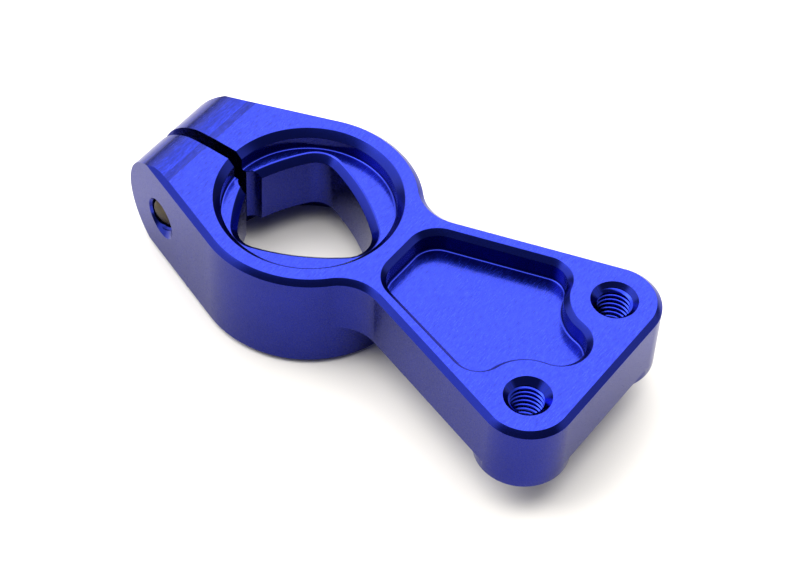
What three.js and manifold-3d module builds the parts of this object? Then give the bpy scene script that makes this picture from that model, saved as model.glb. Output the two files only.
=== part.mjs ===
// Split-clamp bracket: a clamp ring with an ear, a slit and a pinch screw on one
// side, and a tapered, pocketed arm with two tapped holes on the other.
// Millimetres, +Z up. The part lies on the underside of its clamp ring.
// Plan coordinates below are taken from the ring axis (X along the arm, Y across
// it) with Z = 0 on the top face; the last step moves the part to its own frame:
// middle of the bounding box in X and Y, underside at Z = 0.

import * as THREE from 'three';
import { mergeVertices } from 'three/addons/utils/BufferGeometryUtils.js';
import Module from 'manifold-3d';

// ---------------------------------------------------------------- dimensions
const HEIGHT = 9.8;            // clamp ring, top face to underside
const RING_R = 9.24;           // outside of the ring
const EDGE = 0.46;             // chamfer round the top outline
const EDGE_LOW = 0.5;          // chamfer round the underside outlines
const EDGE_IN = 0.6;           // chamfer on the recess and on the opening

const RECESS_R = 7.1;          // round recess in the ring's top face
const RECESS_DEPTH = 1.75;
const LOWER_BORE_R = 7.9;      // counterbore from below
const LOWER_BORE_TOP = -7.1;

const KITE_FRONT = [3.66, 0, 2.76];    // the opening's corner circles: x, y, radius
const KITE_SIDE = [-2.05, 3.60, 2.47];
const KITE_BACK = [-4.30, 0, 2.07];
const KITE_R1 = 19.1;          // radii of its bulging sides
const KITE_R2 = 16.1;
const RELIEF = [-5.6, -0.2, 1.14];     // relief where the slit meets the opening

const SLIT_Y0 = -0.75;         // saw slit through ear and ring
const SLIT_Y1 = 0.30;

const EAR_N = [-0.357, 0.9341];     // normal of the ear's side (y > 0)
const EAR_ROUND_X = -10.55;    // centre line of the ear's full round end
const EAR_ROUND_R = HEIGHT / 2;

const SCREW_X = -10.75;        // pinch screw axis, parallel to Y
const SCREW_Z = -4.95;
const SCREW_R = 1.44;          // shank, over the thread
const SCREW_TIP_R = 1.30;      // lead chamfer at the tip
const SCREW_TIP_Y = -5.15;
const HEAD_R = 2.75;           // socket head
const HEAD_H = 3.0;
const HEX_AF = 2.5;            // across the flats of the hexagon socket
const HEX_DEPTH = 1.3;
const SEAT_Y = 2.85;           // counterbore floor under the head
const SEAT_GAP = 0.1;
const BORE_R = 1.5;            // tapped side, over the thread
const CLEAR_R = 1.7;           // clearance hole on the head side
const HEAD_BORE_R = 3.0;
const MOUTH_EDGE = 0.28;       // chamfer round the tapped side's mouth

const SIDE_N = [-0.308, 0.9514];    // normal of the arm's side (y > 0)
const SIDE_D = 1.709;
const HOLE_X = 25.24;          // two tapped holes
const HOLE_Y = 6.0;
const HOLE_R = 1.25;
const HOLE_SINK_R = 1.9;       // countersink at the top
const CORNER_R = 3.79;         // arm corners, round the holes
const NECK_R = 3.5;            // fillets between ring and arm
const ARM_LOW = -6.0;          // underside of the arm
const PAD_LOW = -6.85;         // underside of the pads round the holes

const POCKET_X = 8.98;         // pocket in the arm's top face
const POCKET_DEPTH = 2.05;
const POCKET_SIDE_D = 0.527;
const POCKET_R1 = 2.8;         // corners next to the ring
const POCKET_R2 = 2.3;         // corners at the wide end
const BOSS_R = 3.46;           // material left round each hole
const LOBE_X = 24.03;          // pocket end between the holes
const LOBE_R = 2.66;
const POCKET_EDGE = 0.46;
const POCKET_SKEW = 0.018;     // the -Y side opens out a little towards the ring
const POCKET_SKEW_X = 22.0;

// ------------------------------------------------------------------- helpers
const wasm = await Module();
wasm.setup();

function solid(geometry) {
  let g = geometry.clone();
  g.deleteAttribute('normal');
  g.deleteAttribute('uv');
  g = mergeVertices(g, 1e-5);
  return new wasm.Manifold(new wasm.Mesh({
    numProp: 3,
    vertProperties: new Float32Array(g.attributes.position.array),
    triVerts: new Uint32Array(g.index.array),
  }));
}

function geometryOf(manifold) {
  const m = manifold.getMesh();
  const g = new THREE.BufferGeometry();
  g.setAttribute('position', new THREE.BufferAttribute(new Float32Array(m.vertProperties), 3));
  g.setIndex(new THREE.BufferAttribute(new Uint32Array(m.triVerts), 1));
  g.computeVertexNormals();
  return g;
}

// points of an arc, end points included, the extremes at 90 degrees kept
function arc(cx, cy, r, a0, a1, step = 9) {
  const cuts = [];
  const lo = Math.min(a0, a1), hi = Math.max(a0, a1);
  cuts.push(lo);
  for (let a = Math.ceil(lo / step - 1e-9) * step; a <= hi + 1e-9; a += step) {
    if (a - lo > step * 0.2 && hi - a > step * 0.2) cuts.push(a);
  }
  cuts.push(hi);
  if (a1 < a0) cuts.reverse();
  return cuts.map(a => [cx + r * Math.cos(a * Math.PI / 180), cy + r * Math.sin(a * Math.PI / 180)]);
}

const deg = (x, y) => Math.atan2(y, x) * 180 / Math.PI;
const mirrored = pts => pts.map(([x, y]) => [x, -y]).reverse();

// closed outline from its upper half (y >= 0), listed from +X to -X
function outline(half) {
  const all = [...half, ...mirrored(half)];
  return all.filter((p, i) => {
    const q = all[(i + all.length - 1) % all.length];
    return Math.hypot(p[0] - q[0], p[1] - q[1]) > 1e-4;
  });
}

function shapeOf(points) {
  const s = new THREE.Shape();
  points.forEach(([x, y], i) => (i ? s.lineTo(x, y) : s.moveTo(x, y)));
  s.closePath();
  return s;
}

// straight prism from z0 to z1
function prism(points, z0, z1) {
  const g = new THREE.ExtrudeGeometry(shapeOf(points), { depth: z1 - z0, bevelEnabled: false });
  g.translate(0, 0, z0);
  return solid(g);
}

// prism whose two rims are chamfered inwards by c
function chamferedPrism(points, z0, z1, c) {
  const g = new THREE.ExtrudeGeometry(shapeOf(points), {
    depth: z1 - z0 - 2 * c, bevelEnabled: true, bevelThickness: c, bevelSize: c,
    bevelOffset: -c, bevelSegments: 1,
  });
  g.translate(0, 0, z0 + c);
  return solid(g);
}

// cutter: straight below zTop - c, opening out by c up to zTop, then straight on
function flaredCutter(pointsAt, zBottom, zTop, c, over) {
  const low = pointsAt(0), high = pointsAt(c);
  return prism(low, zBottom, zTop - c * 0.5)
    .add(loft(low, high, zTop - c, zTop))
    .add(prism(high, zTop, zTop + over));
}

// ruled solid between two outlines with the same number of points
function loft(low, high, z0, z1) {
  const n = low.length, pos = [], idx = [];
  low.forEach(([x, y]) => pos.push(x, y, z0));
  high.forEach(([x, y]) => pos.push(x, y, z1));
  for (let i = 0; i < n; i++) {
    const j = (i + 1) % n;
    idx.push(i, j, n + j, i, n + j, n + i);
  }
  const cap = THREE.ShapeUtils.triangulateShape(low.map(p => new THREE.Vector2(...p)), []);
  for (const [a, b, c] of cap) { idx.push(c, b, a); idx.push(n + a, n + b, n + c); }
  const g = new THREE.BufferGeometry();
  g.setAttribute('position', new THREE.BufferAttribute(new Float32Array(pos), 3));
  g.setIndex(idx);
  return solid(g);
}

// turned solid round a line parallel to Y through (x, z); profile is [radius, y]
function turnedY(profile, x, z, segments) {
  const g = new THREE.LatheGeometry(profile.map(([r, y]) => new THREE.Vector2(r, y)), segments);
  g.translate(x, 0, z);
  return solid(g);
}

// turned solid round a vertical line; profile is [radius, z]
function turnedZ(profile, x, y, segments) {
  const g = new THREE.LatheGeometry(profile.map(([r, z]) => new THREE.Vector2(r, z)), segments);
  g.rotateX(Math.PI / 2);
  g.translate(x, y, 0);
  return solid(g);
}

// ------------------------------------------------------------------ outlines
const sideAngle = deg(...SIDE_N);
const earAngle = deg(...EAR_N);
const END_X = HOLE_X + CORNER_R;
const EAR_END_X = EAR_ROUND_X - EAR_ROUND_R;

// centre of the neck fillet: NECK_R outside both the ring and the arm's side
const neck = (() => {
  const d = SIDE_D + NECK_R, r = RING_R + NECK_R;
  const k = -SIDE_N[0] / SIDE_N[1], b = d / SIDE_N[1];
  const A = 1 + k * k, B = 2 * k * b, C = b * b - r * r;
  const x = (-B + Math.sqrt(B * B - 4 * A * C)) / (2 * A);
  return [x, k * x + b];
})();
const neckRingAngle = deg(...neck);

const earHalf = [
  ...arc(0, 0, RING_R, 0, earAngle, 6),
  [EAR_END_X, (RING_R - EAR_N[0] * EAR_END_X) / EAR_N[1]],
];
const ringEar = outline(earHalf);

const fullOutline = outline([
  [END_X, 0],
  ...arc(HOLE_X, HOLE_Y, CORNER_R, 0, sideAngle, 9),
  ...arc(neck[0], neck[1], NECK_R, sideAngle - 180, neckRingAngle - 180, 9),
  ...arc(0, 0, RING_R, neckRingAngle, earAngle, 6),
  earHalf[earHalf.length - 1],
]);

// centre of the arc of radius r that lies round the circles a and b and touches both
function touching(a, b, r) {
  const ra = r - a[2], rb = r - b[2], d = Math.hypot(b[0] - a[0], b[1] - a[1]);
  const t = (ra * ra - rb * rb + d * d) / (2 * d);
  const h = Math.sqrt(ra * ra - t * t);
  const ux = (b[0] - a[0]) / d, uy = (b[1] - a[1]) / d;
  const found = [1, -1].map(k => [a[0] + t * ux - k * h * uy, a[1] + t * uy + k * h * ux]);
  return found[0][1] < found[1][1] ? found[0] : found[1];
}

// rounded kite with gently bulging sides, grown outwards by g
function kite(g) {
  const f = KITE_FRONT, m = KITE_SIDE, b = KITE_BACK;
  const p = touching(f, m, KITE_R1), q = touching(m, b, KITE_R2);
  const a = [deg(f[0] - p[0], -p[1]), deg(m[0] - p[0], m[1] - p[1]), deg(m[0] - q[0], m[1] - q[1]), deg(b[0] - q[0], -q[1])];
  return outline([
    ...arc(f[0], 0, f[2] + g, 0, a[0], 9),
    ...arc(p[0], p[1], KITE_R1 + g, a[0], a[1], 6),
    ...arc(m[0], m[1], m[2] + g, a[1], a[2], 9),
    ...arc(q[0], q[1], KITE_R2 + g, a[2], a[3], 6),
    ...arc(b[0], 0, b[2] + g, a[3], 180, 9),
  ]);
}

// pocket outline, shrunk by s
function pocket(s) {
  const d = POCKET_SIDE_D - s;
  const r1 = POCKET_R1 - s, r2 = POCKET_R2 - s, boss = BOSS_R + s, lobe = LOBE_R - s;
  const c1x = POCKET_X + POCKET_R1;
  const c1 = [c1x, (POCKET_SIDE_D - POCKET_R1 - SIDE_N[0] * c1x) / SIDE_N[1]];
  // wide corner: tangent to the side and to the boss circle
  const k = -SIDE_N[0] / SIDE_N[1], b = (POCKET_SIDE_D - POCKET_R2) / SIDE_N[1];
  const R = BOSS_R + POCKET_R2;
  const A = 1 + k * k, B = 2 * (k * (b - HOLE_Y) - HOLE_X), C = HOLE_X * HOLE_X + (b - HOLE_Y) ** 2 - R * R;
  const x2 = (-B - Math.sqrt(B * B - 4 * A * C)) / (2 * A);
  const c2 = [x2, k * x2 + b];
  const toBoss = deg(HOLE_X - c2[0], HOLE_Y - c2[1]);
  const lobeAngle = deg(HOLE_X - LOBE_X, HOLE_Y);
  return outline([
    ...arc(LOBE_X, 0, lobe, 0, lobeAngle, 9),
    ...arc(HOLE_X, HOLE_Y, boss, lobeAngle + 180, toBoss + 180, 9),
    ...arc(c2[0], c2[1], r2, toBoss, sideAngle, 9),
    ...arc(c1[0], c1[1], r1, sideAngle, 180, 9),
  ]).map(([x, y]) => [x, y < -1e-9 ? y - POCKET_SKEW * Math.max(0, POCKET_SKEW_X - x) : y]);
}

// cutter that follows the ear's slanted side, so that the chamfer round the
// tapped mouth has the same width all the way
function mouthChamfer() {
  const n = 40, pos = [], idx = [];
  for (const [r, depth] of [[BORE_R - 0.3, MOUTH_EDGE + 0.3], [BORE_R + MOUTH_EDGE + 1, -1]]) {
    for (let i = 0; i < n; i++) {
      const a = i / n * 2 * Math.PI;
      const x = SCREW_X + r * Math.cos(a);
      pos.push(x, depth - (RING_R - EAR_N[0] * x) / EAR_N[1], SCREW_Z + r * Math.sin(a));
    }
  }
  for (let i = 0; i < n; i++) {
    const j = (i + 1) % n;
    idx.push(i, j, n + j, i, n + j, n + i);
  }
  for (let i = 1; i < n - 1; i++) { idx.push(0, i + 1, i); idx.push(n, n + i, n + i + 1); }
  const g = new THREE.BufferGeometry();
  g.setAttribute('position', new THREE.BufferAttribute(new Float32Array(pos), 3));
  g.setIndex(idx);
  return solid(g);
}

// ------------------------------------------------------------- clamp bracket
function makeBracket() {
  // ring and ear over the whole height; arm and pads hang from the top face
  let body = chamferedPrism(ringEar, -HEIGHT, -2.0, EDGE_LOW)
    .add(chamferedPrism(fullOutline, ARM_LOW, -1.5, EDGE_LOW))
    .add(chamferedPrism(fullOutline, -4.5, 0, EDGE));
  for (const s of [1, -1]) {
    const pad = arc(HOLE_X, s * HOLE_Y, CORNER_R, 0, 351, 9);
    body = body.add(chamferedPrism(pad, PAD_LOW, -3.0, EDGE_LOW));
  }

  // full round end of the ear
  const side = arc(EAR_ROUND_X, -EAR_ROUND_R, EAR_ROUND_R, 90, 270, 7.5);
  const keep = [...side, [40, -HEIGHT], [40, 0]];
  const g = new THREE.ExtrudeGeometry(shapeOf(keep), { depth: 30, bevelEnabled: false });
  g.rotateX(Math.PI / 2);              // plan Y of the shape becomes Z
  g.translate(0, 15, 0);
  body = body.intersect(solid(g));

  // recess, through opening and lower counterbore
  const circle = r => arc(0, 0, r, 0, 354, 6);
  body = body.subtract(flaredCutter(c => circle(RECESS_R + c), -RECESS_DEPTH, 0, EDGE_IN, 1));
  body = body.subtract(flaredCutter(c => kite(c - EDGE_IN), LOWER_BORE_TOP - 1, -RECESS_DEPTH, EDGE_IN, 0.5));
  body = body.subtract(prism(circle(LOWER_BORE_R), -HEIGHT - 1, LOWER_BORE_TOP));

  // small relief where the slit meets the opening
  body = body.subtract(prism(arc(RELIEF[0], RELIEF[1], RELIEF[2], 0, 345, 15), LOWER_BORE_TOP - 1, -RECESS_DEPTH + 0.3));

  // slit
  body = body.subtract(prism([[-20, SLIT_Y0], [-3, SLIT_Y0], [-3, SLIT_Y1], [-20, SLIT_Y1]], -HEIGHT - 1, 1));

  // pocket in the arm
  body = body.subtract(flaredCutter(c => pocket(POCKET_EDGE - c), -POCKET_DEPTH, 0, POCKET_EDGE, 1));

  // pinch screw holes, tapped side towards -Y, head side towards +Y
  body = body.subtract(turnedY([
    [0, -14], [BORE_R, -14], [BORE_R, 0],
    [CLEAR_R, 0], [CLEAR_R, SEAT_Y], [HEAD_BORE_R, SEAT_Y], [HEAD_BORE_R, 14], [0, 14],
  ], SCREW_X, SCREW_Z, 40));
  body = body.subtract(mouthChamfer());

  // tapped holes in the arm
  for (const s of [1, -1]) {
    body = body.subtract(turnedZ([
      [0, -10], [HOLE_R, -10], [HOLE_R, -(HOLE_SINK_R - HOLE_R)], [HOLE_SINK_R, 0], [HOLE_SINK_R, 1], [0, 1],
    ], HOLE_X, s * HOLE_Y, 36));
  }
  return body;
}

// --------------------------------------------------------------- pinch screw
function makeScrew() {
  const y0 = SCREW_TIP_Y, seat = SEAT_Y + SEAT_GAP, top = seat + HEAD_H;
  const turned = turnedY([
    [0, y0], [SCREW_TIP_R, y0], [SCREW_R, y0 + 0.3], [SCREW_R, seat], [HEAD_R, seat],
    [HEAD_R, top - 0.25], [HEAD_R - 0.25, top], [0, top],
  ], SCREW_X, SCREW_Z, 40);
  // hexagon socket
  const hexR = HEX_AF / 2 / Math.cos(Math.PI / 6);
  const hex = [];
  for (let i = 0; i < 6; i++) hex.push([hexR * Math.cos(i * Math.PI / 3), hexR * Math.sin(i * Math.PI / 3)]);
  const g = new THREE.ExtrudeGeometry(shapeOf(hex), { depth: HEX_DEPTH + 1, bevelEnabled: false });
  g.rotateX(-Math.PI / 2);
  g.translate(SCREW_X, top - HEX_DEPTH, SCREW_Z);
  return turned.subtract(solid(g));
}

// ------------------------------------------------------------------ assembly
const part = new THREE.Group();
part.name = 'split_clamp_bracket';
part.position.set(-(END_X + EAR_END_X) / 2, 0, HEIGHT);

const anodised = new THREE.MeshStandardMaterial({ color: 0x2b3fd6, roughness: 0.38, metalness: 0.85 });
const steel = new THREE.MeshStandardMaterial({ color: 0x5a4f3c, roughness: 0.4, metalness: 0.9 });

const bracket = new THREE.Mesh(geometryOf(makeBracket()), anodised);
bracket.name = 'clamp_bracket';
part.add(bracket);

const screw = new THREE.Mesh(geometryOf(makeScrew()), steel);
screw.name = 'pinch_screw';
part.add(screw);

export default part;
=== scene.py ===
import bpy
import bmesh
import math
from mathutils import Matrix, Vector


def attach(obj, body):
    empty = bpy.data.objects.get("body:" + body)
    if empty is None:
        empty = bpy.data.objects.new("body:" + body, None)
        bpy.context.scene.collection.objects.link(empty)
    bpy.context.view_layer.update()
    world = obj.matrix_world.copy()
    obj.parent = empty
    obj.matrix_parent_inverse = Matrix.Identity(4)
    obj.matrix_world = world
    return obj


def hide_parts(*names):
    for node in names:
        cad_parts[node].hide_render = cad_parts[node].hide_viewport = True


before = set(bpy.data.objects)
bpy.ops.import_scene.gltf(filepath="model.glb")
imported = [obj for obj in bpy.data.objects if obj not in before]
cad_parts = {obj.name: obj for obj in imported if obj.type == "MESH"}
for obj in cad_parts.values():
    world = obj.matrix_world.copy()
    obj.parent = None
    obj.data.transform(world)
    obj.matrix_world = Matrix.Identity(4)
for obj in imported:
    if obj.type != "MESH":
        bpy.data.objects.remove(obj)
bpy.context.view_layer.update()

# ------------------------------------------------------------------ dimensions
# Millimetres, with the ring axis at x = y = 0 and z = 0 on the top face.
HEIGHT = 9.8
RING_R = 9.24
EDGE, EDGE_LOW, EDGE_IN = 0.46, 0.5, 0.6
RECESS_R, RECESS_DEPTH = 7.1, 1.75
LOWER_R, LOWER_TOP = 7.9, -7.1
KITE_FRONT, KITE_SIDE, KITE_BACK = (3.66, 0.0, 2.76), (-2.05, 3.60, 2.47), (-4.30, 0.0, 2.07)   # x, y, radius
KITE_R1, KITE_R2 = 19.1, 16.1
RELIEF = (-5.6, -0.2, 1.14)
SLIT_Y0, SLIT_Y1 = -0.75, 0.30
EAR_N = (-0.357, 0.9341)
EAR_X, EAR_R = -10.55, 4.9
SX, SZ = -10.75, -4.95
TIP_Y, SEAT_Y, SEAT_GAP = -5.15, 2.85, 0.1
HEAD_R, HEAD_H = 2.75, 3.0
SIDE_N, SIDE_D = (-0.308, 0.9514), 1.709
HOLE_X, HOLE_Y = 25.24, 6.0
CORNER_R, NECK_R = 3.79, 3.5
ARM_LOW, PAD_LOW = -6.0, -6.85
POCKET_X, POCKET_DEPTH, POCKET_D = 8.98, 2.05, 0.527
POCKET_R1, POCKET_R2, BOSS_R, LOBE_X, LOBE_R = 2.8, 2.3, 3.46, 24.03, 2.66
POCKET_SKEW, POCKET_SKEW_X = 0.018, 22.0   # the -y side opens out a little towards the ring
POCKET_EDGE = 0.46
PITCH = 0.5
END_X = HOLE_X + CORNER_R
EAR_END = EAR_X - EAR_R
OX = (END_X + EAR_END) / 2
SOFT = 0.022                      # how far an edge break starts from its corner


# --------------------------------------------------------------------- outlines
def deg(x, y):
    return math.degrees(math.atan2(y, x))


def arc(cx, cy, r, a0, a1, step=3.0, extra=()):
    lo, hi = min(a0, a1), max(a0, a1)
    cuts = [lo, hi]
    a = math.ceil(lo / step - 1e-9) * step
    while a <= hi + 1e-9:
        if a - lo > step * 0.2 and hi - a > step * 0.2:
            cuts.append(a)
        a += step
    for e in extra:
        cuts = [c for c in cuts if abs(c - e) > step * 0.2] + [e]
    cuts = sorted(set(cuts), reverse=a1 < a0)
    return [(cx + r * math.cos(math.radians(c)), cy + r * math.sin(math.radians(c))) for c in cuts]


def closed(half):
    out = []
    for p in list(half) + [(x, -y) for x, y in reversed(half)]:
        if not out or math.dist(p, out[-1]) > 1e-5:
            out.append(p)
    if math.dist(out[0], out[-1]) < 1e-5:
        out.pop()
    return out


SIDE_A, EAR_A = deg(*SIDE_N), deg(*EAR_N)


def neck_centre():
    d, r = SIDE_D + NECK_R, RING_R + NECK_R
    k, b = -SIDE_N[0] / SIDE_N[1], d / SIDE_N[1]
    A, B, C = 1 + k * k, 2 * k * b, b * b - r * r
    x = (-B + math.sqrt(B * B - 4 * A * C)) / (2 * A)
    return x, k * x + b


NX, NY = neck_centre()
NECK_A = deg(NX, NY)


def ear_corner(g):
    x = EAR_END - g
    return x, (RING_R + g - EAR_N[0] * x) / EAR_N[1]


def ring_ear(g):
    return closed(arc(0, 0, RING_R + g, 0, EAR_A, 2.0, (NECK_A,)) + [ear_corner(g)])


def full(g):
    return closed([(END_X + g, 0.0)]
                  + arc(HOLE_X, HOLE_Y, CORNER_R + g, 0, SIDE_A)
                  + arc(NX, NY, NECK_R - g, SIDE_A - 180, NECK_A - 180)
                  + arc(0, 0, RING_R + g, NECK_A, EAR_A, 2.0)
                  + [ear_corner(g)])


def round_outline(cx, cy, r, step=3.0, extra=()):
    return arc(cx, cy, r, 0, 360, step, extra)[:-1]


def pad(s):
    def at(g):
        pts = round_outline(HOLE_X, HOLE_Y, CORNER_R + g, 3.0, (SIDE_A,))
        return pts if s > 0 else [(x, -y) for x, y in reversed(pts)]
    return at


def touching(a, b, r):
    """Centre of the arc of radius r that lies round the circles a and b and touches both."""
    ra, rb, d = r - a[2], r - b[2], math.dist(a[:2], b[:2])
    t = (ra * ra - rb * rb + d * d) / (2 * d)
    h = math.sqrt(ra * ra - t * t)
    ux, uy = (b[0] - a[0]) / d, (b[1] - a[1]) / d
    return min(((a[0] + t * ux - k * h * uy, a[1] + t * uy + k * h * ux) for k in (1, -1)), key=lambda c: c[1])


def kite(g):
    f, m, b = KITE_FRONT, KITE_SIDE, KITE_BACK
    p, q = touching(f, m, KITE_R1), touching(m, b, KITE_R2)
    a = [deg(f[0] - p[0], -p[1]), deg(m[0] - p[0], m[1] - p[1]), deg(m[0] - q[0], m[1] - q[1]), deg(b[0] - q[0], -q[1])]
    return closed(arc(f[0], 0, f[2] + g, 0, a[0])
                  + arc(p[0], p[1], KITE_R1 + g, a[0], a[1], 2.0)
                  + arc(m[0], m[1], m[2] + g, a[1], a[2])
                  + arc(q[0], q[1], KITE_R2 + g, a[2], a[3], 2.0)
                  + arc(b[0], 0, b[2] + g, a[3], 180))


def pocket(g):
    r1, r2, boss, lobe = POCKET_R1 + g, POCKET_R2 + g, BOSS_R - g, LOBE_R + g
    c1x = POCKET_X + POCKET_R1
    c1 = (c1x, (POCKET_D - POCKET_R1 - SIDE_N[0] * c1x) / SIDE_N[1])
    k, b, R = -SIDE_N[0] / SIDE_N[1], (POCKET_D - POCKET_R2) / SIDE_N[1], BOSS_R + POCKET_R2
    A, B, C = 1 + k * k, 2 * (k * (b - HOLE_Y) - HOLE_X), HOLE_X ** 2 + (b - HOLE_Y) ** 2 - R * R
    x2 = (-B - math.sqrt(B * B - 4 * A * C)) / (2 * A)
    c2 = (x2, k * x2 + b)
    tb = deg(HOLE_X - c2[0], HOLE_Y - c2[1])
    la = deg(HOLE_X - LOBE_X, HOLE_Y)
    half = (arc(LOBE_X, 0, lobe, 0, la)
            + arc(HOLE_X, HOLE_Y, boss, la + 180, tb + 180)
            + arc(c2[0], c2[1], r2, tb, SIDE_A)
            + arc(c1[0], c1[1], r1, SIDE_A, 180))
    return [(x, y - POCKET_SKEW * max(0.0, POCKET_SKEW_X - x)) if y < -1e-9 else (x, y) for x, y in closed(half)]


# ----------------------------------------------------------------- mesh builders
def new_object(name, verts, faces):
    me = bpy.data.meshes.new(name)
    me.from_pydata([tuple(v) for v in verts], [], faces)
    me.update()
    o = bpy.data.objects.new(name, me)
    bpy.context.scene.collection.objects.link(o)
    return o


def soften(pts, t, n=3):
    """Rounds each inner corner of a polyline over the length t to both sides; t is one length or one per corner."""
    out = [pts[0]]
    for i in range(1, len(pts) - 1):
        ti = t[i - 1] if isinstance(t, (list, tuple)) else t
        p, a, b = Vector(pts[i]), Vector(pts[i - 1]), Vector(pts[i + 1])
        if ti <= 0:
            out.append(tuple(p))
            continue
        a = p + (a - p).normalized() * ti
        b = p + (b - p).normalized() * ti
        for k in range(n + 1):
            u = k / n
            out.append(tuple(a * (1 - u) ** 2 + p * 2 * u * (1 - u) + b * u * u))
    out.append(pts[-1])
    return out


def stack(name, outline, profile):
    """Closed solid through an outline at several (offset, z), from the bottom up."""
    verts, faces, n = [], [], 0
    for g, z in profile:
        pts = outline(g)
        if n and len(pts) != n:
            raise RuntimeError(f"{name}: {len(pts)} points at offset {g}, not {n}")
        n = len(pts)
        verts += [(x, y, z) for x, y in pts]
    for k in range(len(profile) - 1):
        for i in range(n):
            j = (i + 1) % n
            faces.append((k * n + i, k * n + j, (k + 1) * n + j, (k + 1) * n + i))
    faces.append(tuple(reversed(range(n))))
    faces.append(tuple(range((len(profile) - 1) * n, len(profile) * n)))
    return new_object(name, verts, faces)


def turned(name, profile, n, place):
    """Closed turned solid; profile is [(radius, height)] from the bottom up, from the axis to the axis. A radius may be a function of the angle."""
    verts, faces, rows = [], [], []
    for r, h in profile:
        if not callable(r) and r < 1e-9:
            rows.append([len(verts)])
            verts.append(place(0.0, 0.0, h))
            continue
        rows.append(list(range(len(verts), len(verts) + n)))
        for i in range(n):
            a = 2 * math.pi * i / n
            q = r(a) if callable(r) else r
            verts.append(place(q * math.cos(a), q * math.sin(a), h))
    for a, b in zip(rows, rows[1:]):
        for i in range(n):
            j = (i + 1) % n
            if len(a) == 1:
                faces.append((a[0], b[j], b[i]))
            elif len(b) == 1:
                faces.append((a[i], a[j], b[0]))
            else:
                faces.append((a[i], a[j], b[j], b[i]))
    return new_object(name, verts, faces)


def threaded(name, r_lo, r_hi, z0, turns, place, n=72):
    """Threaded rod: a right-hand helix of `turns` turns from z0 up, crests a third of the pitch wide, pointed ends."""
    prof = [(0.0, r_lo), (0.34, r_lo), (0.56, r_hi), (0.70, r_hi)]
    rows = [(m + f, r) for m in range(turns) for f, r in prof] + [(turns, r_lo)]
    nr, step = len(rows), len(prof)
    extra = [(turns + f, r) for f, r in prof[1:]] + [(turns + 1, r_lo)]
    verts, faces = [], []
    start = []
    for j in range(n):
        a = 2 * math.pi * j / n
        start.append(len(verts))
        for f, r in rows + (extra if j == 0 else []):
            verts.append(place(r * math.cos(a), r * math.sin(a), z0 + PITCH * (f + j / n)))

    def v(j, k):
        return start[j] + k if j < n else start[0] + k + step
    for j in range(n):
        for k in range(nr - 1):
            a, b, c, d = v(j, k), v(j + 1, k), v(j + 1, k + 1), v(j, k + 1)
            faces += [(a, b, c), (a, c, d)]
    low = [v(j, 0) for j in range(n)] + [start[0] + k for k in range(step, 0, -1)]
    high = [v(j, nr - 1) for j in range(n)] + [start[0] + nr - 1 + k for k in range(step, 0, -1)]
    lo_c = len(verts)
    verts.append(place(0.0, 0.0, z0 - PITCH))
    verts.append(place(0.0, 0.0, z0 + PITCH * (turns + 2)))
    for i in range(len(low)):
        faces.append((lo_c, low[(i + 1) % len(low)], low[i]))
    for i in range(len(high)):
        faces.append((lo_c + 1, high[i], high[(i + 1) % len(high)]))
    return new_object(name, verts, faces)


def volume(o):
    bm = bmesh.new()
    bm.from_mesh(o.data)
    v = bm.calc_volume(signed=True)
    loose = sum(1 for e in bm.edges if not e.is_manifold)
    bm.free()
    return v, loose


def combine(base, operation, *others):
    for cutter in others:
        for o in (base, cutter):
            v, loose = volume(o)
            if v <= 0 or loose:
                raise RuntimeError(f"{o.name}: volume {v:.4f}, {loose} open edges")
        m = base.modifiers.new("cut", "BOOLEAN")
        m.operation, m.object, m.solver = operation, cutter, "MANIFOLD"
        dg = bpy.context.evaluated_depsgraph_get()
        me = bpy.data.meshes.new_from_object(base.evaluated_get(dg), depsgraph=dg)
        base.modifiers.clear()
        old = base.data
        base.data = me
        bpy.data.meshes.remove(old)
        me = cutter.data
        bpy.data.objects.remove(cutter)
        bpy.data.meshes.remove(me)
    return base


def up(x, y):
    return lambda u, v, h: (x + u, y + v, h)


def across(x, z):
    return lambda u, v, h: (x + v, h, z + u)


# ---------------------------------------------------------------- bracket solids
def flared(name, outline, z_low, z_top, wall, edge, floor_t, over=1.0, top_t=0.05):
    """Cutter with straight walls at offset `wall`, a chamfer of `edge` and a small break where it meets z_top."""
    pts = [(wall - 1.0, z_low), (wall, z_low), (wall, z_top - edge), (wall + edge, z_top),
           (wall + edge + 0.08, z_top + 0.003), (wall + edge + 0.08, z_top + over)]
    return stack(name, outline, soften(pts, [floor_t, SOFT, top_t, 0], 5)[1:])


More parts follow.
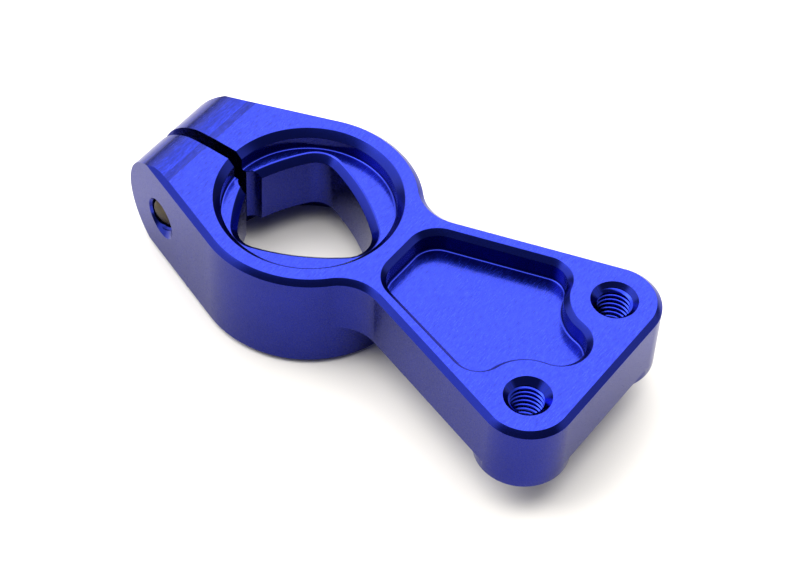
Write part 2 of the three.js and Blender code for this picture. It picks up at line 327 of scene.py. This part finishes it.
def make_bracket():
    E, L = EDGE, EDGE_LOW
    body = stack("bracket", full, soften(
        [(-L - 1, ARM_LOW), (-L, ARM_LOW), (0, ARM_LOW + L), (0, -E), (-E, 0), (-E - 1, 0)], SOFT)[1:-1])
    ring = stack("ring", ring_ear, soften(
        [(-L - 1, -HEIGHT), (-L, -HEIGHT), (0, -HEIGHT + L), (0, -2.0)], SOFT)[1:] + [(-0.6, -1.4)])
    combine(body, "UNION", ring)
    for s in (1, -1):
        combine(body, "UNION", stack("pad", pad(s), soften(
            [(-L - 1, PAD_LOW), (-L, PAD_LOW), (0, PAD_LOW + L), (0, -3.0)], SOFT)[1:] + [(-0.6, -2.4)]))

    # full round end of the ear, with the shallow facets that lead into it
    pts = [(40.0, 1.0), (-9.2, 1.0), (-9.2, 0.6 * math.tan(math.radians(3.0)))]
    pts += [(-10.6, -0.8 * math.tan(math.radians(3.0))), (-10.95, -0.0445), (-11.75, -0.1495)]
    a = 105.0
    while a <= 267.01:
        pts.append((EAR_X + EAR_R * math.cos(math.radians(a)), -EAR_R + EAR_R * math.sin(math.radians(a))))
        a += 2.0 if a < 150 or a > 210 else 3.0
    x, z = pts[-1]
    k = (-HEIGHT - z) / (EAR_X - x)
    pts += [(-9.5, z + k * (-9.5 - x)), (-9.5, -11.0), (40.0, -11.0)]
    n = len(pts)
    verts = [(x, -15.0, z) for x, z in pts] + [(x, 15.0, z) for x, z in pts]
    faces = [(i, n + i, n + (i + 1) % n, (i + 1) % n) for i in range(n)]
    faces += [tuple(range(n)), tuple(range(2 * n - 1, n - 1, -1))]
    keep = new_object("keep", verts, faces)
    if volume(keep)[0] < 0:
        keep.data.flip_normals()
    combine(body, "INTERSECT", keep)

    # recess, through opening, lower counterbore
    combine(body, "DIFFERENCE",
            flared("recess", lambda g: round_outline(0, 0, g, 2.0), -RECESS_DEPTH, 0.0, RECESS_R, EDGE_IN, 0.19),
            flared("opening", kite, LOWER_TOP - 1, -RECESS_DEPTH, -EDGE_IN, EDGE_IN, 0, 0.6, 0.12),
            stack("lower", lambda g: round_outline(0, 0, g, 3.0), soften(
                [(LOWER_R + 1.2, -HEIGHT - 1.0), (LOWER_R + 0.2, -HEIGHT), (LOWER_R, -HEIGHT + 0.2), (LOWER_R, LOWER_TOP),
                 (LOWER_R - 1, LOWER_TOP)], [0, 0, 0.1])[:-1]))

    # small relief where the slit meets the opening
    combine(body, "DIFFERENCE", stack("relief", lambda g: round_outline(RELIEF[0], RELIEF[1], RELIEF[2] + g, 4.0),
                                      [(0, LOWER_TOP - 1), (0, -RECESS_DEPTH - 0.04), (0.05, -RECESS_DEPTH + 0.01),
                                       (0.05, -RECESS_DEPTH + 0.3)]))

    # slit
    combine(body, "DIFFERENCE", stack("slit", lambda g: [(-20, SLIT_Y0), (-3, SLIT_Y0), (-3, SLIT_Y1), (-20, SLIT_Y1)],
                                      [(0, -HEIGHT - 1), (0, 1)]))

    # pocket in the arm
    combine(body, "DIFFERENCE", flared("pocket", pocket, -POCKET_DEPTH, 0.0, -POCKET_EDGE, POCKET_EDGE, 0.20))

    # pinch screw holes: tapped towards -y, stepped towards +y
    combine(body, "DIFFERENCE",
            turned("step", [(0, -5.25), (1.45, -5.25), (1.56, -5.14), (1.56, 0.0), (1.7, 0.0), (1.7, SEAT_Y), (2.9, SEAT_Y),
                            (3.0, SEAT_Y + 0.1), (3.0, 14), (0, 14)], 72, across(SX, SZ)),
            threaded("tap", 1.25, 1.5, -11.03, 12, across(SX, SZ)))
    verts, n = [], 96
    for r, depth in [(1.2, 0.58), (1.5, 0.28), (1.5 + 1.28, -1.0)]:
        for i in range(n):
            a = -2 * math.pi * i / n
            x = SX + r * math.cos(a)
            verts.append((x, depth - (RING_R - EAR_N[0] * x) / EAR_N[1], SZ + r * math.sin(a)))
    faces = [(k * n + i, k * n + (i + 1) % n, (k + 1) * n + (i + 1) % n, (k + 1) * n + i) for k in range(2) for i in range(n)]
    faces += [tuple(reversed(range(n))), tuple(range(2 * n, 3 * n))]
    mouth = new_object("mouth", verts, faces)
    if volume(mouth)[0] < 0:
        mouth.data.flip_normals()
    combine(body, "DIFFERENCE", mouth)

    # tapped holes in the arm
    for s in (1, -1):
        place = up(HOLE_X, s * HOLE_Y)
        combine(body, "DIFFERENCE",
                threaded("tap", 1.33, 1.55, -9.0 + 0.13 * s, 19, place),
                turned("sink", [(0, -1.0), (0.9, -1.0), (1.9, 0.0), (1.95, 0.06), (1.95, 1.0), (0, 1.0)], 96, place),
                turned("sink", [(0, -8.0), (1.75, -8.0), (1.75, PAD_LOW), (1.15, PAD_LOW + 0.6), (0, PAD_LOW + 0.6)], 96, place))
    return body


# ------------------------------------------------------------------ pinch screw
def make_screw():
    seat = SEAT_Y + SEAT_GAP
    top = seat + HEAD_H
    place = across(SX, SZ)
    shank = threaded("pinch", 1.2, 1.46, TIP_Y - 1.2, 19, place)
    combine(shank, "INTERSECT", turned("envelope", [
        (0, TIP_Y), (1.12, TIP_Y), (1.2, TIP_Y + 0.02), (1.47, TIP_Y + 0.27), (1.47, seat + 0.3), (0, seat + 0.3)], 72, place))
    teeth = 54

    def knurl(r, depth):
        return lambda a: r - depth * (0.5 - 0.5 * math.cos(a * teeth)) ** 0.7
    head = turned("head", [
        (0, seat), (2.5, seat), (2.58, seat + 0.03), (knurl(HEAD_R, 0.02), seat + 0.16), (knurl(HEAD_R, 0.1), seat + 0.26),
        (knurl(HEAD_R, 0.1), top - 0.62), (knurl(HEAD_R, 0.02), top - 0.5), (2.68, top - 0.25), (2.5, top - 0.06),
        (2.3, top), (0, top)], teeth * 8, place)
    combine(head, "UNION", shank)
    r = 1.25 / math.cos(math.pi / 6)
    hexagon = [(r * math.cos(i * math.pi / 3), r * math.sin(i * math.pi / 3)) for i in range(6)]
    verts = [place(u, v, h) for h in (top - 1.3, top + 0.5) for u, v in hexagon]
    faces = [(i, (i + 1) % 6, 6 + (i + 1) % 6, 6 + i) for i in range(6)] + [(5, 4, 3, 2, 1, 0), (6, 7, 8, 9, 10, 11)]
    combine(head, "DIFFERENCE", new_object("hex", verts, faces),
            turned("hexlead", [(0, top - 0.5), (1.2, top - 0.3), (1.52, top + 0.02), (1.6, top + 0.3), (0, top + 0.3)], 48, place),
            turned("hexfloor", [(0, top - 1.75), (1.2, top - 1.25), (1.2, top - 1.0), (0, top - 1.0)], 48, place))
    return head


def finish_mesh(o, name, angle):
    """To metres in the row frame, cleaned, with smooth shading that breaks at edges sharper than `angle`."""
    me = o.data
    bm = bmesh.new()
    bm.from_mesh(me)
    bmesh.ops.remove_doubles(bm, verts=bm.verts, dist=2e-4)
    bmesh.ops.dissolve_degenerate(bm, dist=1e-5, edges=bm.edges)
    bmesh.ops.transform(bm, verts=bm.verts, matrix=Matrix.Diagonal((0.001, 0.001, 0.001, 1)) @ Matrix.Translation((-OX, 0, HEIGHT)))
    for f in bm.faces:
        f.smooth = True
    for e in bm.edges:
        if len(e.link_faces) == 2:
            e.smooth = e.calc_face_angle(0.0) < math.radians(angle)
    print("MESH", name, len(bm.verts), len(bm.faces), "open", sum(1 for e in bm.edges if not e.is_manifold))
    bm.to_mesh(me)
    bm.free()
    me.materials.clear()
    me.name = o.name = name
    m = o.modifiers.new("normals", "WEIGHTED_NORMAL")
    m.keep_sharp = True
    m.weight = 90
    return o


bracket = finish_mesh(make_bracket(), "bracket_body", 24)
screw = finish_mesh(make_screw(), "pinch_screw_body", 30)
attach(bracket, "bracket")
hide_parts("clamp_bracket")
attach(screw, "screw")
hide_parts("pinch_screw")


# -------------------------------------------------------------------- materials
class Nodes:
    def __init__(self, name):
        self.mat = bpy.data.materials.new(name)
        self.mat.use_nodes = True
        self.tree = self.mat.node_tree
        self.tree.nodes.clear()
        self.out = self.add("ShaderNodeOutputMaterial")
        self.bsdf = self.add("ShaderNodeBsdfPrincipled")
        self.link(self.bsdf.outputs[0], self.out.inputs["Surface"])

    def add(self, kind, **props):
        n = self.tree.nodes.new(kind)
        for k, v in props.items():
            setattr(n, k, v)
        return n

    def link(self, a, b):
        self.tree.links.new(a, b)

    def put(self, node, socket, value):
        if isinstance(value, bpy.types.NodeSocket):
            self.link(value, node.inputs[socket])
        else:
            node.inputs[socket].default_value = value

    def math(self, op, a, b=None, c=None, clamp=False):
        n = self.add("ShaderNodeMath", operation=op, use_clamp=clamp)
        self.put(n, 0, a)
        if b is not None:
            self.put(n, 1, b)
        if c is not None:
            self.put(n, 2, c)
        return n.outputs[0]

    def scale(self, colour, factor):
        n = self.add("ShaderNodeVectorMath", operation="SCALE")
        self.put(n, 0, colour)
        self.put(n, "Scale", factor)
        return n.outputs["Vector"]

    def coords(self, scale, rotation=(0, 0, 0)):
        tc = self.add("ShaderNodeTexCoord")
        mp = self.add("ShaderNodeMapping")
        self.link(tc.outputs["Object"], mp.inputs["Vector"])
        mp.inputs["Scale"].default_value = scale
        mp.inputs["Rotation"].default_value = rotation
        return mp.outputs[0]

    def noise(self, vector, scale=1.0, detail=2.0, rough=0.5, distortion=0.0):
        n = self.add("ShaderNodeTexNoise")
        self.link(vector, n.inputs["Vector"])
        n.inputs["Scale"].default_value = scale
        n.inputs["Detail"].default_value = detail
        n.inputs["Roughness"].default_value = rough
        n.inputs["Distortion"].default_value = distortion
        return n.outputs["Fac"]

    def remap(self, v, a, b, c, d, smooth=False):
        n = self.add("ShaderNodeMapRange", interpolation_type="SMOOTHSTEP" if smooth else "LINEAR")
        self.put(n, 0, v)
        for i, x in enumerate((a, b, c, d)):
            self.put(n, i + 1, x)
        return n.outputs[0]

    def bump(self, height, strength, distance, normal=None):
        n = self.add("ShaderNodeBump")
        self.put(n, "Height", height)
        n.inputs["Strength"].default_value = strength
        n.inputs["Distance"].default_value = distance
        if normal is not None:
            self.link(normal, n.inputs["Normal"])
        return n.outputs[0]

    def mix(self, fac, a, b):
        n = self.add("ShaderNodeMix", data_type="RGBA")
        self.put(n, 0, fac)
        self.put(n, 6, a)
        self.put(n, 7, b)
        return n.outputs[2]


ANODISED = (0.0100, 0.0205, 0.28, 1.0)


def anodised(name, lines, rough, base=ANODISED, coat=0.20):
    m = Nodes(name)
    b = m.bsdf
    b.inputs["Metallic"].default_value = 1.0
    b.inputs["Coat Weight"].default_value = coat
    b.inputs["Specular Tint"].default_value = (0.75, 0.75, 0.8, 1)
    b.inputs["Coat IOR"].default_value = 1.5
    b.inputs["Coat Roughness"].default_value = 0.12
    grain = m.noise(m.coords((9000, 9000, 9000)), 1.0, 2.0, 0.6)
    blotch = m.noise(m.coords((420, 420, 420)), 1.0, 3.0, 0.55)
    colour = m.mix(m.remap(blotch, 0.3, 0.7, 0.0, 1.0), tuple(c * 0.93 for c in base[:3]) + (1,), tuple(c * 1.05 for c in base[:3]) + (1,))
    height = grain
    if lines == "milled":
        lay = m.noise(m.coords((9500, 1700, 1700)), 1.0, 2.0, 0.6)
        colour = m.mix(m.remap(lay, 0.3, 0.7, 0.0, 1.0), tuple(c * 0.74 for c in base[:3]) + (1,), tuple(c * 1.38 for c in base[:3]) + (1,))
        normal = m.bump(lay, 0.28, 0.00002)
        normal = m.bump(height, 0.10, 0.00002, normal)
        r = m.math("ADD", m.remap(lay, 0.25, 0.75, rough - 0.05, rough + 0.05), m.remap(blotch, 0.3, 0.7, -0.02, 0.02))
    elif lines == "wall":
        lay = m.noise(m.coords((2600, 2600, 500)), 1.0, 2.0, 0.6)
        normal = m.bump(lay, 0.10, 0.00002)
        normal = m.bump(height, 0.16, 0.00002, normal)
        r = m.remap(grain, 0.2, 0.8, rough - 0.04, rough + 0.05)
    else:
        normal = m.bump(height, 0.14, 0.00002)
        r = m.remap(grain, 0.2, 0.8, rough - 0.04, rough + 0.05)
    if lines == "milled":
        # painted shade: darker bands across the ear at fixed places along x, standing in for the dimmer reflections of
        # the ear's shallow facets and round
        axis = m.add("ShaderNodeSeparateXYZ")
        m.link(m.coords((1000, 1000, 1000)), axis.inputs[0])
        x = axis.outputs["X"]
        painted_band_shade = 1.0
        for x0, x1, w, k in ((-10.54, -9.82, 0.04, 0.62), (-14.0, -11.02, 0.05, 0.93), (-13.02, -12.74, 0.06, 0.72)):
            in_painted_band = m.math("MULTIPLY", m.remap(x, x0 - OX - w, x0 - OX + w, 0.0, 1.0),
                            m.remap(x, x1 - OX - w, x1 - OX + w, 1.0, 0.0))
            painted_band_shade = m.math("MULTIPLY", m.remap(in_painted_band, 0.0, 1.0, 1.0, k), painted_band_shade)
        colour = m.scale(colour, painted_band_shade)
    m.link(colour, b.inputs["Base Color"])
    m.link(r, b.inputs["Roughness"])
    m.link(normal, b.inputs["Normal"])
    return m.mat


mats = {
    "milled": anodised("anodised_milled_painted_shade", "milled", 0.24),
    # painted shade: the walls take a darker copy of the same anodised blue, so they reflect the bright floor less
    "wall": anodised("anodised_wall_painted_shade", "wall", 0.26, (0.0070, 0.0125, 0.195, 1), 0.22),
    "edge": anodised("anodised_edge", "edge", 0.22),
    # painted light: the threads take a lighter copy of the same anodised blue, brightening the thread flanks
    "thread": anodised("anodised_thread_painted_light", "edge", 0.13, (0.012, 0.026, 0.36, 1), 0.10),
}
for k in ("milled", "wall", "edge", "thread"):
    bracket.data.materials.append(mats[k])
for p in bracket.data.polygons:
    nz = abs(p.normal.z)
    x = p.center.x * 1000 + OX
    # the ear's top facets and round take the milled material, which carries the painted shade bands
    if nz > 0.994 or (x < EAR_X + 0.9 and abs(p.normal.y) < 0.05 and p.normal.z > 0.2):
        p.material_index = 0
    # faces in the arm's tapped holes take the lighter thread copy, which is painted light
    elif math.hypot(x - HOLE_X, abs(p.center.y * 1000) - HOLE_Y) < 1.6:
        p.material_index = 3
    # side faces take the darker wall copy, which is painted shade
    elif nz < 0.1:
        p.material_index = 1
    else:
        p.material_index = 2


def oxide():
    m = Nodes("screw_oxide")
    b = m.bsdf
    b.inputs["Metallic"].default_value = 1.0
    b.inputs["Coat Weight"].default_value = 0.05
    b.inputs["Coat Roughness"].default_value = 0.2
    blotch = m.noise(m.coords((900, 900, 900)), 1.0, 4.0, 0.6)
    fine = m.noise(m.coords((6000, 6000, 6000)), 1.0, 3.0, 0.6)
    colour = m.mix(m.remap(blotch, 0.35, 0.65, 0.0, 1.0), (0.021, 0.0135, 0.0045, 1), (0.048, 0.034, 0.013, 1))
    m.link(colour, b.inputs["Base Color"])
    m.link(m.remap(fine, 0.2, 0.8, 0.28, 0.45), b.inputs["Roughness"])
    m.link(m.bump(fine, 0.3, 0.00002), b.inputs["Normal"])
    return m.mat


screw.data.materials.append(oxide())

# ------------------------------------------------------------------------ stage
floor = new_object("floor_sheet", [(-2.5, -2.5, 0), (2.5, -2.5, 0), (2.5, 2.5, 0), (-2.5, 2.5, 0)], [(0, 1, 2, 3)])
m = Nodes("paper")
m.bsdf.inputs["Base Color"].default_value = (0.78, 0.755, 0.71, 1)
m.bsdf.inputs["Roughness"].default_value = 0.9
m.bsdf.inputs["Specular IOR Level"].default_value = 0.1
floor.data.materials.append(m.mat)

scene = bpy.context.scene
scene.view_settings.view_transform = "Standard"
scene.view_settings.look = "None"
scene.view_settings.exposure = 0.0
scene.view_settings.gamma = 1.0

# soft studio surroundings: a wide bright zone behind and to the left, a dim side towards the camera
world = bpy.data.worlds.new("studio")
world.use_nodes = True
scene.world = world
wt = world.node_tree
wt.nodes.clear()


def wn(kind, **props):
    n = wt.nodes.new(kind)
    for k, v in props.items():
        setattr(n, k, v)
    return n


def wmath(op, a, b, clamp=False):
    n = wn("ShaderNodeMath", operation=op, use_clamp=clamp)
    for i, v in enumerate((a, b)):
        if isinstance(v, bpy.types.NodeSocket):
            wt.links.new(v, n.inputs[i])
        else:
            n.inputs[i].default_value = v
    return n.outputs[0]


def lobe(direction, cos_in, cos_out, level):
    """Radiance `level` inside the cone, falling smoothly to zero at cos_out."""
    tc = wn("ShaderNodeTexCoord")
    d = wn("ShaderNodeVectorMath", operation="DOT_PRODUCT")
    wt.links.new(tc.outputs["Generated"], d.inputs[0])
    v = Vector(direction).normalized()
    d.inputs[1].default_value = v
    r = wn("ShaderNodeMapRange", interpolation_type="SMOOTHSTEP")
    wt.links.new(d.outputs["Value"], r.inputs[0])
    for i, x in enumerate((cos_out, cos_in, 0.0, level)):
        r.inputs[i + 1].default_value = x
    return r.outputs[0]


def edge(direction, f0, f1, keep):
    """1 on this side of a plane through the viewer, `keep` beyond it."""
    tc = wn("ShaderNodeTexCoord")
    d = wn("ShaderNodeVectorMath", operation="DOT_PRODUCT")
    wt.links.new(tc.outputs["Generated"], d.inputs[0])
    d.inputs[1].default_value = direction
    r = wn("ShaderNodeMapRange", interpolation_type="SMOOTHSTEP")
    wt.links.new(d.outputs["Value"], r.inputs[0])
    for i, x in enumerate((f0, f1, 1.0, keep)):
        r.inputs[i + 1].default_value = x
    return r.outputs[0]


top_box = wmath("MULTIPLY", lobe((-0.30, 0.32, 0.90), 0.82, 0.40, 3.95), edge((-0.903, 0.0, -0.428), 0.11, 0.18, 0.60))
top_box = wmath("MULTIPLY", top_box, edge((0.87, 0.0, -0.50), -0.20, 0.10, 0.10))
total = wmath("ADD", top_box, 0.13)
total = wmath("ADD", total, lobe((-0.78, -0.48, 0.40), 0.966, 0.80, 1.15))
total = wmath("ADD", total, lobe((-0.50, -0.36, 0.785), 0.985, 0.925, 3.2))
total = wmath("ADD", total, lobe((0.772, 0.575, 0.272), 0.985, 0.88, 0.62))
bg = wn("ShaderNodeBackground")
wt.links.new(total, bg.inputs["Strength"])
bg.inputs["Color"].default_value = (1, 1, 1, 1)
wo = wn("ShaderNodeOutputWorld")
wt.links.new(bg.outputs[0], wo.inputs["Surface"])

# ----------------------------------------------------------------------- camera
R = ((0.8074018204663705, 0.5885716995124813, 0.04105672710507005),
     (0.46839022588040213, -0.5971111895191706, -0.6512056692403),
     (-0.35876579631745376, 0.5450152125252931, -0.7577898927200816))
C = Vector((80.13224765, -107.66272455, 144.55973468))
cam = bpy.data.objects.new("camera", bpy.data.cameras.new("camera"))
scene.collection.objects.link(cam)
mat = Matrix.Identity(4)
for i in range(3):
    mat[i][0], mat[i][1], mat[i][2] = R[0][i], -R[1][i], -R[2][i]
mat.translation = Vector(((C.x - OX) / 1000, C.y / 1000, (C.z + HEIGHT) / 1000))
cam.matrix_world = mat
cam.data.sensor_width = 36.0
cam.data.lens = 2465.8005 * 36 / 800
cam.data.clip_start = 0.005
scene.camera = cam
